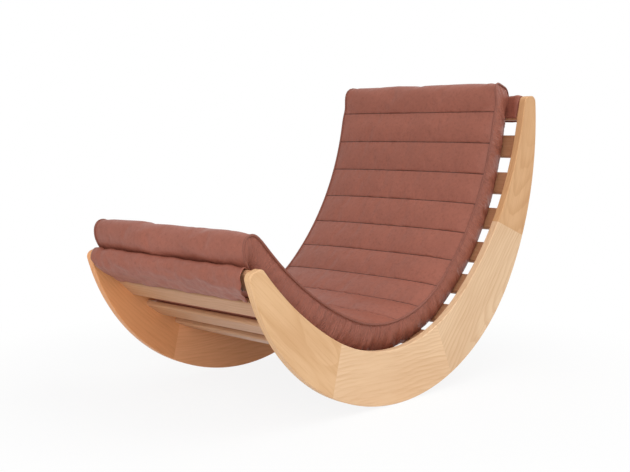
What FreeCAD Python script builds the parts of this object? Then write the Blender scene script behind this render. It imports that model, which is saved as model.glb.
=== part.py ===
import FreeCAD, Part
import math
import os

# Rocking chaise lounge: two crescent sides, a slatted cradle between them and a channelled pad.
# X runs from the foot to the head, Y from the sitter's right to the left, Z up, in millimetres.
# The origin is on the floor, midway between the sides, right under the rocking centre.
# A heading is the direction of walking from foot to head: 0 is along +X, 90 is straight up.

# Sides
OVERALL_WIDTH = 670.0
SIDE_THICKNESS = 22.4
ROCKER_RADIUS = 601.0
ROCKER_FOOT_RADIUS = 524.0
ROCKER_BACK_RADIUS = 859.0
ROCKER_HEADINGS = (-75.3, -27.9, 58.8, 95.4)
SIDE_DEPTH = 150.0
SEAT_SHIFT = -31.0
SEAT_RADIUS = 453.0
SEAT_FOOT_RADIUS = 871.0
SEAT_BACK_RADIUS = 868.0
FOOT_TIP_WIDTH = 44.9
FOOT_TIP_SLANT = 2.5
HEAD_WIDTH = 72.8
SEAT_END_DROP = 55.6
HEAD_TIP_RISE = 76.0
HEAD_TIP_REAR_RISE = 20.0
FOOT_TIP_ROUND = 17.0
HEAD_TIP_ROUND = 20.0
SIDE_EDGE_CHAMFER = 2.0

# Boards of each side: where each butt joint starts on the seat curve, and its heading outwards
BOARD_NAMES = ("foot_board", "base_board", "back_board", "head_board")
JOINT_PLACES = (348.0, 749.0, 1150.0)
JOINT_HEADINGS = (-103.5, -65.4, -21.0)
SPLINE_THICKNESS = 6.0
SPLINE_DEPTH = 14.0
SPLINE_FROM_SEAT = 38.0
SPLINE_FROM_RIM = 16.0
SPLINE_CLEARANCE = 0.1

# Slats
SLAT_COUNT = 14
SLAT_WIDTH = 70.0
SLAT_THICKNESS = 18.0
SLAT_RECESS = 15.0
SLAT_EDGE_ROUND = 7.0
FIRST_SLAT_PLACE = 24.0
LAST_SLAT_PAST_SEAT = 42.2
TENON_WIDTH = 44.0
TENON_THICKNESS = 8.0
TENON_IN_SIDE = 14.0
TENON_IN_SLAT = 22.0
TENON_CLEARANCE = 0.1
TENON_END_ROOM = 1.0

# Pad
SEAT_CLEARANCE = 0.3
PAD_SIDE_GAP = 9.6
PAD_SHIFT = 9.0
PAD_THICKNESS = 81.3
PAD_RADIUS = 352.4
PAD_FOOT_RADIUS = 874.5
PAD_BACK_RADIUS = 779.2
PAD_START_BEFORE_SEAT = 42.8
PAD_START_RISE = 57.3
PAD_END_PAST_SEAT = 7.3
PAD_END_RISE = 107.0
PAD_FOOT_OVERHANG = 22.1
PAD_FOOT_END_HEADING = 94.0
PAD_FOOT_ROUND = 24.0
PAD_HEAD_OVERHANG = 99.2
PAD_HEAD_END_HEADING = -10.0
PAD_HEAD_FRONT_ROUND = 25.0
PAD_HEAD_REAR_ROUND = 42.0
FOOT_ROLL_LENGTH = 120.2
CHANNEL_SEAMS = 14
CHANNEL_PUFF = 7.0
CHANNEL_PUFF_AT_EDGE = 1.0
PAD_CROWN = 6.0
PAD_CROWN_AT_QUARTER = 4.8
PAD_CROWN_AT_BAND = 1.2
BAND_SLOPE = 20.0
BAND_LIP = 12.0
BAND_BULGE_SHARE = 0.5
BAND_BULGE_REACH = 0.75
COVER_WALL = 4.0
CORE_CLEARANCE = 0.3
PIPING_RADIUS = 2.5
PIPING_FACETS = 8

# Steel bar in the foot roll, which balances the chaise in the pose that it stands in
COUNTERWEIGHT_WIDTH = 102.0
COUNTERWEIGHT_THICKNESS = 32.0
COUNTERWEIGHT_END_ROOM = 6.0
COUNTERWEIGHT_FROM_FOOT = 26.0

# Pockets that hold the pad on the end slats
LEATHER = 2.0
POCKET_FROM_PAD_EDGE = 32.0
POCKET_EASE = 6.0
POCKET_REACH = 57.0
POCKET_SLACK = 5.0

INNER_HALF_WIDTH = OVERALL_WIDTH / 2 - SIDE_THICKNESS
PAD_HALF_WIDTH = INNER_HALF_WIDTH - PAD_SIDE_GAP
PAD_BASE_HALF_WIDTH = PAD_HALF_WIDTH - BAND_SLOPE
PAD_DEPTH = SLAT_RECESS - SEAT_CLEARANCE
FAR = 2000.0


def vector(x, z, y=0.0):
    return FreeCAD.Vector(x, y, z)


def along(heading):
    turn = math.radians(heading)
    return vector(math.cos(turn), math.sin(turn))


def outward(heading):
    turn = math.radians(heading)
    return vector(math.sin(turn), -math.cos(turn))


class Curve:
    """Three tangent arcs from foot to head, given by the middle arc's centre."""

    def __init__(self, centre, radii, headings):
        middle = vector(*centre)
        foot, seat, back = radii
        start, first, second, end = headings
        self.arcs = [
            (middle + outward(first) * (seat - foot), foot, start, first),
            (middle, seat, first, second),
            (middle + outward(second) * (seat - back), back, second, end),
        ]
        self.lengths = [radius * math.radians(b - a) for _, radius, a, b in self.arcs]
        self.length = sum(self.lengths)

    def place(self, length, out=0.0):
        """Point and heading at a length from the foot end; it runs straight on past both ends."""
        if length <= 0:
            centre, radius, heading, _ = self.arcs[0]
            return centre + outward(heading) * (radius + out) + along(heading) * length, heading
        walked = 0.0
        for (centre, radius, start, _), span in zip(self.arcs, self.lengths):
            if length <= walked + span:
                heading = start + math.degrees((length - walked) / radius)
                return centre + outward(heading) * (radius + out), heading
            walked += span
        centre, radius, _, heading = self.arcs[-1]
        point = centre + outward(heading) * (radius + out) + along(heading) * (length - walked)
        return point, heading

    def segments(self, out=0.0):
        """The three arcs, each as its start, middle and end point."""
        runs = []
        for centre, radius, start, end in self.arcs:
            headings = (start, (start + end) / 2, end)
            runs.append([centre + outward(h) * (radius + out) for h in headings])
        return runs


def curve_between(centre, radii, foot_end, head_end):
    """Three tangent arcs whose outer ones end in two given points."""
    middle = vector(*centre)
    seat = radii[1]
    headings = []
    for end, radius, side in ((foot_end, radii[0], 1), (head_end, radii[2], -1)):
        span = end - middle
        lean = span.Length ** 2 + seat ** 2 - 2 * seat * radius
        lean = math.degrees(math.acos(lean / (2 * (seat - radius) * span.Length)))
        joint = math.degrees(math.atan2(span.x, -span.z)) + side * lean
        arm = end - middle - outward(joint) * (seat - radius)
        headings.append((joint, math.degrees(math.atan2(arm.x, -arm.z))))
    (first, start), (second, last) = headings
    return Curve(centre, radii, (start, first, second, last))


ROCKER = Curve((0.0, ROCKER_RADIUS), (ROCKER_FOOT_RADIUS, ROCKER_RADIUS, ROCKER_BACK_RADIUS),
               ROCKER_HEADINGS)
SEAT = curve_between(
    (SEAT_SHIFT, SIDE_DEPTH + SEAT_RADIUS), (SEAT_FOOT_RADIUS, SEAT_RADIUS, SEAT_BACK_RADIUS),
    ROCKER.place(-FOOT_TIP_SLANT, -FOOT_TIP_WIDTH)[0],
    ROCKER.place(ROCKER.length - SEAT_END_DROP, -HEAD_WIDTH)[0])
PAD = curve_between(
    (SEAT_SHIFT + PAD_SHIFT, SIDE_DEPTH - PAD_DEPTH + PAD_THICKNESS + PAD_RADIUS),
    (PAD_FOOT_RADIUS, PAD_RADIUS, PAD_BACK_RADIUS),
    SEAT.place(-PAD_START_BEFORE_SEAT, -PAD_START_RISE)[0],
    SEAT.place(SEAT.length + PAD_END_PAST_SEAT, -PAD_END_RISE)[0])


def wire(segments, y=0.0):
    """A closed wire at y, from segments of two points (a line) or three (an arc)."""
    shift = vector(0, 0, y)
    edges = []
    for segment in segments:
        points = [point + shift for point in segment]
        kind = Part.LineSegment if len(points) == 2 else Part.Arc
        edges.append(kind(*points).toShape())
    return Part.Wire(edges)


def plate(segments, low, high):
    return Part.Face(wire(segments, low)).extrude(vector(0, 0, high - low))


def reverse(segments):
    return [segment[::-1] for segment in reversed(segments)]


def crossing(point, heading, other, other_heading):
    """Where a line through one point meets a line through another."""
    direction, cross = along(heading), outward(other_heading)
    return point + direction * ((other - point).dot(cross) / direction.dot(cross))


def corner(before, heading, after, next_heading, radius):
    """The arc that rounds the corner between two lines, as its start, middle and end point."""
    turn = (next_heading - heading + 180) % 360 - 180
    side = 1 if turn > 0 else -1
    tip = crossing(before, heading, after, next_heading)
    reach = radius * math.tan(math.radians(abs(turn) / 2))
    start = tip - along(heading) * reach
    centre = start - outward(heading) * radius * side
    middle = centre + outward(heading + turn / 2) * radius * side
    return [start, middle, tip + along(next_heading) * reach]


def export(shape, name):
    solids = shape.Solids
    if not solids or not all(solid.isValid() for solid in solids):
        raise ValueError(name + " is not a valid solid")
    result = solids[0] if len(solids) == 1 else Part.makeCompound(solids)
    result.exportStep("parts/" + name + ".step")
    print(name, len(solids), round(result.Volume / 1000.0, 1), "cm3")
    return result


# Places of the slats, and the loose tenons that join them to the sides

def slat_place(index):
    pitch = (SEAT.length + LAST_SLAT_PAST_SEAT - FIRST_SLAT_PLACE) / (SLAT_COUNT - 1)
    return SEAT.place(FIRST_SLAT_PLACE + pitch * index, SLAT_RECESS + SLAT_THICKNESS / 2)


def bar(centre, heading, width, thickness, low, high):
    """A straight bar across the chaise: its width runs along the heading."""
    reach, depth = along(heading) * (width / 2), outward(heading) * (thickness / 2)
    corners = [centre - reach - depth, centre + reach - depth, centre + reach + depth,
               centre - reach + depth]
    return plate([[corners[i], corners[(i + 1) % 4]] for i in range(4)], low, high)


def tenon(index, side, clearance=0.0, end_room=0.0):
    """The tongue at one end of a slat, from inside the slat to inside the side board."""
    low = INNER_HALF_WIDTH - TENON_IN_SLAT - end_room
    high = INNER_HALF_WIDTH + TENON_IN_SIDE + end_room
    span = (low, high) if side > 0 else (-high, -low)
    width, thickness = TENON_WIDTH + 2 * clearance, TENON_THICKNESS + 2 * clearance
    return bar(*slat_place(index), width, thickness, *span)


def mortise(index, side):
    return tenon(index, side, TENON_CLEARANCE, TENON_END_ROOM)


# Sides

def side_span(side):
    low, high = INNER_HALF_WIDTH, OVERALL_WIDTH / 2
    return (low, high) if side > 0 else (-high, -low)


def side_panel(side):
    """One crescent with rounded tips and eased edges, before it is parted into boards."""
    head_front = SEAT.place(SEAT.length + HEAD_TIP_RISE)[0]
    head_rear = ROCKER.place(ROCKER.length + HEAD_TIP_REAR_RISE)[0]
    outer, inner = ROCKER.segments(), SEAT.segments()
    outline = outer + [[outer[-1][-1], head_rear], [head_rear, head_front]]
    outline += [[head_front, inner[-1][-1]]] + reverse(inner) + [[inner[0][0], outer[0][0]]]
    low, high = side_span(side)
    panel = plate(outline, low, high)
    for tips, radius in (((inner[0][0], outer[0][0]), FOOT_TIP_ROUND),
                         ((head_front, head_rear), HEAD_TIP_ROUND)):
        tip_edges = [edge for edge in panel.Edges
                     if any((edge.CenterOfMass - tip - vector(0, 0, (low + high) / 2)).Length < 0.01
                            for tip in tips)]
        panel = panel.makeFillet(radius, tip_edges)
    rim = [edge for edge in panel.Edges if edge.BoundBox.YLength < 0.01]
    return panel.makeChamfer(SIDE_EDGE_CHAMFER, rim)


def joint_line(index):
    """Where a butt joint starts on the seat curve, and where it leaves the rocker curve."""
    start = SEAT.place(JOINT_PLACES[index])[0]
    reach = along(JOINT_HEADINGS[index])
    ray = Part.LineSegment(start, start + reach * FAR).toShape()
    arcs = Part.Wire([Part.Arc(*points).toShape() for points in ROCKER.segments()])
    return start, start + reach * ray.distToShape(arcs)[1][0][0].distanceToPoint(start)


def beyond(index):
    """A block that covers everything on the head side of a butt joint."""
    start, end = joint_line(index)
    reach = end - start
    reach.normalize()
    across = vector(-reach.z, reach.x)
    corners = [start - reach * FAR, start + reach * FAR, start + reach * FAR + across * FAR,
               start - reach * FAR + across * FAR]
    outline = [[corners[i], corners[(i + 1) % 4]] for i in range(4)]
    return plate(outline, -OVERALL_WIDTH, OVERALL_WIDTH)


def spline(index, side, clearance=0.0):
    """The loose tongue that locks two boards together, inside the side's thickness."""
    start, end = joint_line(index)
    reach = end - start
    reach.normalize()
    across = vector(-reach.z, reach.x) * (SPLINE_DEPTH + clearance)
    ends = (start + reach * (SPLINE_FROM_SEAT - clearance),
            end - reach * (SPLINE_FROM_RIM - clearance))
    corners = [ends[0] - across, ends[1] - across, ends[1] + across, ends[0] + across]
    outline = [[corners[i], corners[(i + 1) % 4]] for i in range(4)]
    centre = sum(side_span(side)) / 2
    half = SPLINE_THICKNESS / 2 + clearance
    return plate(outline, centre - half, centre + half)


def side_boards(side):
    """The four boards of one side, from foot to head."""
    rest = side_panel(side)
    slots = [spline(index, side, SPLINE_CLEARANCE) for index in range(len(JOINT_PLACES))]
    rest = rest.cut(slots + [mortise(index, side) for index in range(SLAT_COUNT)])
    boards = []
    for index in range(len(JOINT_PLACES)):
        block = beyond(index)
        boards.append(rest.cut(block))
        rest = rest.common(block)
    return boards + [rest]


# Slats

def slat(index):
    blank = bar(*slat_place(index), SLAT_WIDTH, SLAT_THICKNESS, -INNER_HALF_WIDTH, INNER_HALF_WIDTH)
    long_edges = [edge for edge in blank.Edges if edge.BoundBox.YLength > INNER_HALF_WIDTH]
    return blank.makeFillet(SLAT_EDGE_ROUND, long_edges).cut([mortise(index, side) for side in (1, -1)])


# Pad

def pad_ends(inset=0.0):
    """The two straight ends of the pad's outline, moved inwards by the inset."""
    foot = SEAT.place(-PAD_FOOT_OVERHANG, PAD_DEPTH)[0]
    head = SEAT.place(SEAT.length + PAD_HEAD_OVERHANG, PAD_DEPTH)[0]
    return (foot + outward(PAD_FOOT_END_HEADING) * inset,
            head + outward(PAD_HEAD_END_HEADING) * inset)


def pad_corners(inset=0.0):
    """The rounded corners: foot, head front and head rear, each as three points."""
    foot, head = pad_ends(inset)
    start, start_heading = PAD.place(0, inset)
    end, end_heading = PAD.place(PAD.length, inset)
    back, back_heading = SEAT.place(SEAT.length, PAD_DEPTH - inset)
    return (
        corner(foot, PAD_FOOT_END_HEADING, start, start_heading, PAD_FOOT_ROUND - inset),
        corner(end, end_heading, head, PAD_HEAD_END_HEADING, PAD_HEAD_FRONT_ROUND - inset),
        corner(head, PAD_HEAD_END_HEADING, back, back_heading + 180, PAD_HEAD_REAR_ROUND - inset),
    )


def base_run(inset=0.0):
    """The underside from head to foot: straight, three arcs, straight."""
    depth = PAD_DEPTH - inset
    arcs = reverse(SEAT.segments(depth))
    foot = pad_ends(inset)[0]
    start, heading = SEAT.place(0, depth)
    return ([[pad_corners(inset)[2][-1], arcs[0][0]]] + arcs
            + [[arcs[-1][-1], crossing(foot, PAD_FOOT_END_HEADING, start, heading)]])


def lip_run():
    """The inner edge of the side band's lip: the same runs as the underside, near the top."""
    foot, head = pad_ends(BAND_LIP)
    arcs = reverse(PAD.segments(BAND_LIP))
    start, start_heading = PAD.place(0, BAND_LIP)
    end, end_heading = PAD.place(PAD.length, BAND_LIP)
    arcs[0][0] = corner(end, end_heading, head, PAD_HEAD_END_HEADING,
                        PAD_HEAD_FRONT_ROUND - BAND_LIP)[0]
    arcs[-1][-1] = corner(foot, PAD_FOOT_END_HEADING, start, start_heading,
                          PAD_FOOT_ROUND - BAND_LIP)[-1]
    base = base_run()
    return [[base[0][0], arcs[0][0]]] + arcs + [[arcs[-1][-1], base[-1][-1]]]


def channel_run(puff, crown):
    """The quilted top from foot to head, one arc for each channel between two seams."""
    foot, front, _ = pad_corners()
    width = (PAD.length - FOOT_ROLL_LENGTH) / (CHANNEL_SEAMS - 1)
    seams = [FOOT_ROLL_LENGTH + width * index for index in range(CHANNEL_SEAMS)]
    first = PAD.place(0)
    lengths = [-(foot[-1] - first[0]).Length] + seams
    lengths += [PAD.length + (front[0] - PAD.place(PAD.length)[0]).Length]
    run = []
    for low, high in zip(lengths, lengths[1:]):
        heights = (crown if low > lengths[0] else 0.0, crown + puff,
                   crown if high < lengths[-1] else 0.0)
        places = (low, (low + high) / 2, high)
        run.append([PAD.place(place, -height)[0] for place, height in zip(places, heights)])
    return run


def pad_section(puff, crown, underside):
    foot, front, rear = pad_corners()
    top = channel_run(puff, crown)
    foot_bottom = underside[-1][-1]
    return ([[foot_bottom, foot[0]], foot] + top + [front, [front[-1], rear[0]], rear]
            + underside)


def mix(ones, others, share):
    """Each point moved by the share of its way from the first list to the second."""
    return [[a + (b - a) * share for a, b in zip(one, other)] for one, other in zip(ones, others)]


def pad_body():
    """The padded outline, lofted from one side band over the crown to the other."""
    base, lip = base_run(), lip_run()
    bulge = PAD_BASE_HALF_WIDTH + (PAD_HALF_WIDTH - PAD_BASE_HALF_WIDTH) * BAND_BULGE_REACH
    middle_puff = (CHANNEL_PUFF + CHANNEL_PUFF_AT_EDGE) / 2
    half = [
        (PAD_HALF_WIDTH, CHANNEL_PUFF_AT_EDGE, 0.0, lip),
        (bulge, middle_puff, 0.0, mix(base, lip, BAND_BULGE_SHARE)),
        (PAD_BASE_HALF_WIDTH, CHANNEL_PUFF, PAD_CROWN_AT_BAND, base),
        (PAD_BASE_HALF_WIDTH / 2, CHANNEL_PUFF, PAD_CROWN_AT_QUARTER, base),
    ]
    stations = [(-y, puff, crown, underside) for y, puff, crown, underside in half]
    stations += [(0.0, CHANNEL_PUFF, PAD_CROWN, base)]
    stations += half[::-1]
    wires = [wire(pad_section(puff, crown, underside), y) for y, puff, crown, underside in stations]
    return Part.makeLoft(wires, True, True)


def plain_pad(inset, half_width):
    """The pad's outline without channels, inset all round."""
    foot, front, rear = pad_corners(inset)
    top = PAD.segments(inset)
    outline = [[base_run(inset)[-1][-1], foot[0]], foot, [foot[-1], top[0][0]]] + top
    outline += [[top[-1][-1], front[0]], front, [front[-1], rear[0]], rear] + base_run(inset)
    return plate(outline, -half_width, half_width)


def piping(side):
    """The welt cord sewn into the edge of the top panel, round both ends."""
    foot, front, rear = pad_corners(PIPING_RADIUS)
    top = PAD.segments(PIPING_RADIUS)
    bottom = base_run(PIPING_RADIUS)[-1][-1]
    path = [[bottom, foot[0]], foot, [foot[-1], top[0][0]]] + top
    path += [[top[-1][-1], front[0]], front, [front[-1], rear[0]]]
    y = side * (PAD_HALF_WIDTH + PIPING_RADIUS + SEAT_CLEARANCE)
    spine = wire(path, y)
    start = bottom + vector(0, 0, y)
    turns = [2 * math.pi * i / PIPING_FACETS for i in range(PIPING_FACETS + 1)]
    across = outward(PAD_FOOT_END_HEADING) * PIPING_RADIUS
    rim = [start + across * math.cos(turn) + vector(0, 0, PIPING_RADIUS * math.sin(turn))
           for turn in turns]
    return spine.makePipeShell([Part.makePolygon(rim)], True, False)


def counterweight(clearance=0.0):
    """The flat steel bar in the foot roll, halfway through the pad's thickness."""
    foot = pad_ends(COVER_WALL)[0]
    top, heading = PAD.place(0)
    depth = (top - SEAT.place(0, PAD_DEPTH)[0]).Length / 2
    start = crossing(foot, PAD_FOOT_END_HEADING, top + outward(heading) * depth, heading)
    centre = start + along(heading) * (COUNTERWEIGHT_FROM_FOOT + COUNTERWEIGHT_WIDTH / 2)
    half_length = PAD_BASE_HALF_WIDTH - COUNTERWEIGHT_END_ROOM + clearance
    return bar(centre, heading, COUNTERWEIGHT_WIDTH + 2 * clearance,
               COUNTERWEIGHT_THICKNESS + 2 * clearance, -half_length, half_length)


def pocket(index, end):
    """The leather pocket over an end slat: end is -1 at the foot and 1 at the head."""
    centre, heading = slat_place(index)
    depth = outward(heading)
    reach = along(heading) * end
    top = -SLAT_THICKNESS / 2 - SLAT_RECESS
    under = SLAT_THICKNESS / 2 + SEAT_CLEARANCE
    edge = SLAT_WIDTH / 2 + POCKET_EASE
    bend = SLAT_EDGE_ROUND + POCKET_EASE / 2

    def spot(u, n):
        return centre + reach * u + depth * n

    def wrap(out):
        bow = (bend + out) * math.sqrt(0.5)
        middle = spot(edge - bend + bow, under - bend + bow)
        return [
            [spot(edge + out, top), spot(edge + out, under - bend)],
            [spot(edge + out, under - bend), middle, spot(edge - bend, under + out)],
            [spot(edge - bend, under + out), spot(-POCKET_REACH, under + out + POCKET_SLACK)],
        ]

    inside, outside = wrap(0.0), wrap(LEATHER)
    outline = inside + [[inside[-1][-1], outside[-1][-1]]] + reverse(outside)
    outline += [[outside[0][0], inside[0][0]]]
    half_width = PAD_HALF_WIDTH - POCKET_FROM_PAD_EDGE
    sheet = plate(outline, -half_width, half_width)
    return sheet.cut(plain_pad(-SEAT_CLEARANCE, PAD_HALF_WIDTH))


# Build every piece

def main():
    os.makedirs("parts", exist_ok=True)
    names = {1: "left", -1: "right"}
    for side, name in names.items():
        for board, board_name in zip(side_boards(side), BOARD_NAMES):
            export(board, name + "_" + board_name)
        splines = [spline(index, side) for index in range(len(JOINT_PLACES))]
        export(Part.makeCompound(splines), name + "_board_splines")
        tenons = [tenon(index, side) for index in range(SLAT_COUNT)]
        export(Part.makeCompound(tenons), name + "_slat_tenons")
        export(piping(side), name + "_piping")
    for index in range(SLAT_COUNT):
        export(slat(index), "slat_%02d" % (index + 1))
    core_half_width = PAD_BASE_HALF_WIDTH - COVER_WALL
    hollow = plain_pad(COVER_WALL - CORE_CLEARANCE, core_half_width + CORE_CLEARANCE)
    export(pad_body().cut(hollow), "pad_cover")
    export(plain_pad(COVER_WALL, core_half_width).cut(counterweight(CORE_CLEARANCE)), "foam_core")
    export(counterweight(), "foot_counterweight")
    export(pocket(0, -1), "foot_pocket")
    export(pocket(SLAT_COUNT - 1, 1), "head_pocket")


main()
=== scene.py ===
import math

import bpy
import numpy as np
from bpy.props import FloatProperty, FloatVectorProperty, IntProperty
from mathutils import Matrix, Vector, noise


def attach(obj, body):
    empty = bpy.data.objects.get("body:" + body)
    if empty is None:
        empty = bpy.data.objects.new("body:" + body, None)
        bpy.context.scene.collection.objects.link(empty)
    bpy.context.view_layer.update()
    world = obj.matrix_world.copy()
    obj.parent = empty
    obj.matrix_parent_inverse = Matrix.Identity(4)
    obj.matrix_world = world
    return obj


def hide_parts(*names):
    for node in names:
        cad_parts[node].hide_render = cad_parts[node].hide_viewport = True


bl_info = {
    "name": "Rocking chaise lounge",
    "version": (1, 0, 0),
    "blender": (4, 5, 0),
    "location": "View3D > Sidebar > Chaise",
    "description": "Dresses the packed model of a rocking chaise with its leather pad and wood",
    "category": "Object",
}

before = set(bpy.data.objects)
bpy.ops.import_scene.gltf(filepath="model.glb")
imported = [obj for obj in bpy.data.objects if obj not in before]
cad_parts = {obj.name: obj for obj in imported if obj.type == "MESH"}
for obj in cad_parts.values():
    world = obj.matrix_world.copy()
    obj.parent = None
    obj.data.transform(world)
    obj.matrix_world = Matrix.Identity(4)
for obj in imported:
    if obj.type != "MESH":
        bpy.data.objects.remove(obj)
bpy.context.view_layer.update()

# The chaise in side view, in metres. A heading is the direction of walking from foot to head.
SEAT_CENTRE = (-0.031, 0.603)
SEAT_RADII = (0.871, 0.453, 0.868)
SEAT_HEADINGS = (-50.4, -28.9, 37.8, 78.5)
SLAT_RECESS = 0.015
SLAT_THICKNESS = 0.018
SLATS = 14
FOOT_SLATS = 4
LAST_SLAT_PLACE = 1.513

# The pad's front line of three arcs, its straight ends and the rounds between them
SEAT_CLEARANCE = 0.0003
PAD_CENTRE = (-0.022, 0.569)
PAD_RADII = (0.8745, 0.3524, 0.7792)
PAD_HEADINGS = (-49.7, -23.2, 42.7, 82.9)
PAD_FOOT_END = (-0.525, 0.414)
PAD_FOOT_END_HEADING = 94.0
PAD_FOOT_ROUND = 0.024
PAD_HEAD_END = (0.521, 0.866)
PAD_HEAD_END_HEADING = -10.0
PAD_HEAD_FRONT_ROUND = 0.025
PAD_HEAD_REAR_ROUND = 0.042
UNDERSIDE_START = 0.02
CHANNEL_WIDTH = 0.0951
CHANNEL_SEAMS = 14

# Half widths at the corded edge and at the slats, and where they draw in
PAD_HALF_WIDTH = 0.303
PAD_FOOT_HALF_WIDTH = 0.299
PAD_BASE_HALF_WIDTH = 0.283
PAD_BASE_HALF_WIDTH_AT_HEAD = 0.262
TOE_TAPER = 0.05
HEAD_TAPER_START = 0.03
BASE_TAPER_START = 0.45
BASE_TAPER = 0.50

# The foot roll's seam and swell, and how the cord pulls the edge in at the pad's two turns
ROLL_SEAM = (-0.512, 0.409)
ROLL_BULGE = 0.006
ROLL_BULGE_LENGTH = 0.075
EDGE_DIP = 0.0065
EDGE_DIP_PLACES = (-0.025, 0.02)
EDGE_DIP_SPREAD = 0.028

# The pad's mesh: how strongly its cells crowd to the seams and side edges, where its crown fades
# in and out, how far from its ends the underside is matched, and how deep below it is looked for,
# and the frames for which the cloth fills
SEAM_CROWDING = 0.75
EDGE_CROWDING = 0.15
CROWN_FADE = (0.08, 0.05)
UNDERSIDE_MATCHED = (0.06, 0.04)
UNDERSIDE_DEPTH = (0.02, 0.20)
END_CELLS = 12
BAND_FULL_HEIGHT = 0.07
FILLING_FRAMES = 20

# Where the side bands are gathered and folded, from the top's foot edge: place and fade, the
# waves to a metre, and how sharp the seams and the corded edge are and how dark their painted shade is
GATHERS_START = (0.20, 0.15)
GATHERS_END = (0.95, 0.25)
FOLDS_START = (0.95, 0.15)
GATHERS_PER_METRE = 78
FOLDS_PER_METRE = 60
PUCKERS_PER_METRE = 55
SEAM_REACH = 0.03
SEAM_CREASE = 0.75
CORD_CREASE = 0.7
CORD_PAINTED_SHADOW = 0.8

# The foot pocket's line in side view, from the roll's seam over the first slat, and its half widths
FOOT_POCKET = (ROLL_SEAM, (-0.529, 0.4145), (-0.5405, 0.403), (-0.5420, 0.383),
               (-0.534, 0.366), (-0.511, 0.345), (-0.486, 0.326))
FOOT_POCKET_HALF_WIDTHS = (0.300, 0.305, 0.306, 0.304, 0.297, 0.280, 0.266)

# The head pocket's line round the last slat, as reach along the seat and depth behind the slat's
# middle, and its half widths
HEAD_POCKET = ((-0.030, -0.0103), (0.0, -0.0105), (0.033, -0.0108), (0.0405, -0.004),
               (0.0405, 0.005), (0.033, 0.0120), (0.0, 0.0130), (-0.036, 0.0140))
HEAD_POCKET_HALF_WIDTHS = (0.300, 0.303, 0.305, 0.305, 0.305, 0.303, 0.299, 0.290)
POCKET_CELLS = 110
HEM_RADIUS = 0.0016

RINGS_PER_METRE = 115.0

# Each board's grain heading and its tint beside its neighbours
BOARDS = {
    "foot_board": (-42.0, (0.93, 0.86, 0.76)),
    "base_board": (-4.0, (1.0, 1.0, 1.0)),
    "back_board": (46.0, (0.96, 0.97, 0.98)),
    "head_board": (72.0, (0.83, 0.71, 0.58)),
}

# The camera, found from the photograph
CAMERA_PLACE = (-2.1129, -2.0931, 0.7303)
CAMERA_YAW = 45.45
CAMERA_PITCH = -5.79
CAMERA_ROLL = -0.10
CAMERA_SENSOR = 36.0
CAMERA_LENS = 59.3


def srgb(red, green, blue):
    """A colour given as 0 to 255 on screen, as the linear colour that Blender uses."""
    def linear(value):
        value /= 255
        return value / 12.92 if value <= 0.04045 else ((value + 0.055) / 1.055) ** 2.4
    return linear(red), linear(green), linear(blue), 1.0


# Lines in the side view

def along(heading):
    """The direction of a heading."""
    turn = math.radians(heading)
    return np.array((math.cos(turn), math.sin(turn)))


def outward(heading):
    """The direction to the right of a heading, which is away from the sitter."""
    turn = math.radians(heading)
    return np.array((math.sin(turn), -math.cos(turn)))


class Route:
    """A line in the side view made of straight runs and arcs, walked by its length."""

    def __init__(self):
        self.parts = []
        self.length = 0.0

    def line(self, start, end):
        span = float(np.linalg.norm(end - start))
        heading = math.degrees(math.atan2(end[1] - start[1], end[0] - start[0]))
        self.parts.append((self.length, span, "line", start, heading))
        self.length += span
        return self

    def arc(self, centre, radius, start, end):
        span = radius * math.radians(abs(end - start))
        self.parts.append((self.length, span, "arc", (centre, radius, start, end), 0.0))
        self.length += span
        return self

    def at(self, length):
        """Point and heading at a length; past the ends it runs straight on."""
        for first, span, kind, data, heading in self.parts:
            if length <= first + span or first + span >= self.length - 1e-9:
                break
        walked = length - first
        if kind == "line":
            return data + along(heading) * walked, heading
        centre, radius, start, end = data
        side = 1 if end > start else -1
        turned = min(max(walked, 0.0), span) / radius
        heading = start + side * math.degrees(turned)
        over = walked - min(max(walked, 0.0), span)
        return centre + outward(heading) * radius * side + along(heading) * over, heading


def three_arcs(centre, radii, headings, out=0.0):
    """Three tangent arcs from foot to head, given by the middle arc's centre."""
    middle = np.array(centre)
    foot, seat, back = radii
    start, first, second, end = headings
    route = Route()
    route.arc(middle + outward(first) * (seat - foot), foot + out, start, first)
    route.arc(middle, seat + out, first, second)
    route.arc(middle + outward(second) * (seat - back), back + out, second, end)
    return route


def crossing(point, heading, other, other_heading):
    """Where a line through one point meets a line through another."""
    direction, cross = along(heading), outward(other_heading)
    return point + direction * (np.dot(other - point, cross) / np.dot(direction, cross))


def corner(before, heading, after, next_heading, radius):
    """The arc that rounds a corner between two lines: start, centre, first and last heading, end."""
    turn = (next_heading - heading + 180) % 360 - 180
    side = 1 if turn > 0 else -1
    tip = crossing(before, heading, after, next_heading)
    reach = radius * math.tan(math.radians(abs(turn) / 2))
    start = tip - along(heading) * reach
    centre = start - outward(heading) * radius * side
    return start, centre, (heading, heading + turn), tip + along(next_heading) * reach


def smooth(value):
    """An eased step from 0 to 1."""
    value = np.clip(value, 0.0, 1.0)
    return value * value * (3 - 2 * value)


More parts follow.
